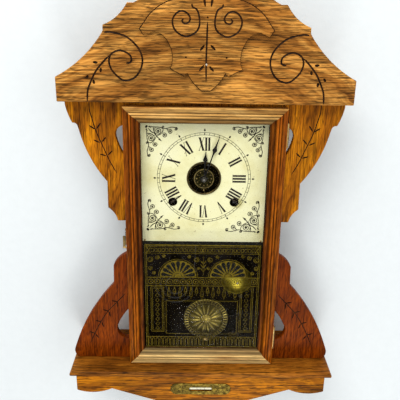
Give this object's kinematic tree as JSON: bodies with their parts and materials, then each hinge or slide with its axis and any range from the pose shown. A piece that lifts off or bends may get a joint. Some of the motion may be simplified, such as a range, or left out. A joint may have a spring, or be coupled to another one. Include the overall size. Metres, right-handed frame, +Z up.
{
  "type": "wall clock",
  "caption": "Carved oak hanging clock with a glazed door, paper dial, alarm disc, pendulum, coil gong, alarm bell and a spirit level under the shelf.",
  "frame": {"origin": "centre of the hanger hole, on the plane of the wall", "axes": "+Z up, +Y into the wall so the front faces -Y, +X to the viewer's right"},
  "size_m": [0.458, 0.135, 0.75],
  "materials": {
    "oak_crown": "satin varnished oak, horizontal grain",
    "oak_wing": "satin varnished oak, upright grain",
    "oak_door": "satin varnished oak, reddish brown",
    "oak_rail": "satin varnished oak, golden brown",
    "oak_case": "dark stained oak",
    "pine_back": "dark stained pine",
    "steel": "dull steel",
    "iron": "black cast iron",
    "brass": "aged brass",
    "glass": "clear glass with a stencilled lower part",
    "vial": "cloudy glass with pale liquid",
    "dial_paper": "aged cream paper on zinc",
    "hand_black": "blackened steel"
  },
  "bodies": {
    "root": {"backboard": "pine_back", "hanger_plate": "steel", "case_side_left": "oak_case", "case_side_right": "oak_case", "case_top": "oak_case", "base_shelf": "oak_crown", "apron": "oak_crown", "crown": "oak_crown", "crown_overlay": "oak_crown", "wing_upper_left": "oak_wing", "wing_upper_right": "oak_wing", "wing_lower_left": "oak_wing", "wing_lower_right": "oak_wing", "glue_blocks": "pine_back", "hinge_leaves_case": "brass", "hinge_pins": "brass", "level_plate": "brass", "level_vial": "vial", "dial_plate": "dial_paper", "dial_supports": "pine_back", "dial_ring": "brass", "movement_front_plate": "brass", "movement_back_plate": "brass", "movement_pillars": "brass", "movement_blocks": "pine_back", "mainsprings": "steel", "great_wheels": "brass", "gong_coil": "steel", "gong_base": "iron", "alarm_bell": "brass", "bell_post": "steel", "alarm_frame": "brass"},
    "door": {"door_stile_left": "oak_door", "door_stile_right": "oak_door", "door_rail_top": "oak_rail", "door_rail_bottom": "oak_rail", "door_glass": "glass", "glass_beads": "oak_case", "hinge_leaves_door": "brass", "door_catch_pin": "brass"},
    "latch": {"latch": "brass"},
    "strike_winder": {"strike_winding_arbor": "steel"},
    "time_winder": {"time_winding_arbor": "steel"},
    "minute": {"centre_arbor": "steel", "minute_hand": "hand_black", "hand_nut": "brass"},
    "minute_wheel": {"minute_wheel": "brass"},
    "hour": {"hour_wheel": "brass", "hour_hand": "hand_black"},
    "alarm_disc": {"alarm_disc": "brass"},
    "escape": {"escape_wheel": "brass"},
    "verge": {"verge": "steel"},
    "pendulum": {"suspension_spring": "steel", "pendulum_rod": "steel"},
    "bob": {"bob": "brass"},
    "rating_nut": {"rating_nut": "brass"},
    "strike_hammer": {"strike_hammer": "steel"},
    "alarm_winder": {"alarm_key": "brass"},
    "alarm_hammer": {"alarm_hammer": "steel"}
  },
  "joints": [
    {"name": "door_hinge", "type": "hinge", "parent": "root", "child": "door", "pos_m": [0.1284, -0.0938, -0.2975], "axis": [0, 0, 1], "range_deg": [0, 105]},
    {"name": "latch_turn", "type": "hinge", "parent": "root", "child": "latch", "pos_m": [-0.1294, -0.077, -0.307], "axis": [1, 0, 0], "range_deg": [0, 90]},
    {"name": "minute_spin", "type": "hinge", "parent": "root", "child": "minute", "pos_m": [0, -0.09, -0.19], "axis": [0, 1, 0], "continuous": true},
    {"name": "minute_wheel_spin", "type": "hinge", "parent": "root", "child": "minute_wheel", "pos_m": [-0.01205, -0.075, -0.19], "axis": [0, 1, 0], "continuous": true},
    {"name": "hour_spin", "type": "hinge", "parent": "root", "child": "hour", "pos_m": [0, -0.08, -0.19], "axis": [0, 1, 0], "continuous": true},
    {"name": "alarm_disc_spin", "type": "hinge", "parent": "hour", "child": "alarm_disc", "pos_m": [0, -0.084, -0.19], "axis": [0, 1, 0], "continuous": true},
    {"name": "time_wind", "type": "hinge", "parent": "root", "child": "time_winder", "pos_m": [0.0506, -0.06, -0.231], "axis": [0, 1, 0], "continuous": true},
    {"name": "strike_wind", "type": "hinge", "parent": "root", "child": "strike_winder", "pos_m": [-0.0506, -0.06, -0.231], "axis": [0, 1, 0], "continuous": true},
    {"name": "alarm_wind", "type": "hinge", "parent": "root", "child": "alarm_winder", "pos_m": [0.061, -0.03, -0.508], "axis": [0, 1, 0], "continuous": true},
    {"name": "pendulum_swing", "type": "hinge", "parent": "root", "child": "pendulum", "pos_m": [0.008, -0.0788, -0.132], "axis": [0, -1, 0], "range_deg": [-3.5, 3.5]},
    {"name": "verge_rock", "type": "hinge", "parent": "root", "child": "verge", "pos_m": [0.008, -0.064, -0.14], "axis": [0, -1, 0], "range_deg": [-4.6, 4.6]},
    {"name": "escape_step", "type": "hinge", "parent": "root", "child": "escape", "pos_m": [0.008, -0.064, -0.162], "axis": [0, -1, 0], "range_deg": [-3.2, 3.2]},
    {"name": "bob_slide", "type": "slide", "parent": "pendulum", "child": "bob", "axis": [0, 0, 1], "range_m": [-0.0007, 0.0007]},
    {"name": "rating_turn", "type": "hinge", "parent": "bob", "child": "rating_nut", "pos_m": [0.008, -0.0788, -0.4955], "axis": [0, 0, 1], "range_deg": [-361, 361]},
    {"name": "strike_hammer_lift", "type": "hinge", "parent": "root", "child": "strike_hammer", "pos_m": [-0.007, -0.023, -0.24], "axis": [0, -1, 0], "range_deg": [0, 8]},
    {"name": "alarm_hammer_swing", "type": "hinge", "parent": "root", "child": "alarm_hammer", "pos_m": [0.073, -0.024, -0.486], "axis": [0, -1, 0], "range_deg": [-6, 0]}
  ],
  "couplings": [
    {"joint": "minute_wheel_spin", "follows": "minute_spin", "ratio": -0.33333},
    {"joint": "hour_spin", "follows": "minute_spin", "ratio": 0.083333},
    {"joint": "verge_rock", "follows": "pendulum_swing", "ratio": 1.2857},
    {"joint": "escape_step", "follows": "pendulum_swing", "ratio": 0.857},
    {"joint": "rating_turn", "follows": "bob_slide", "rad_per_m": 8976}
  ]
}
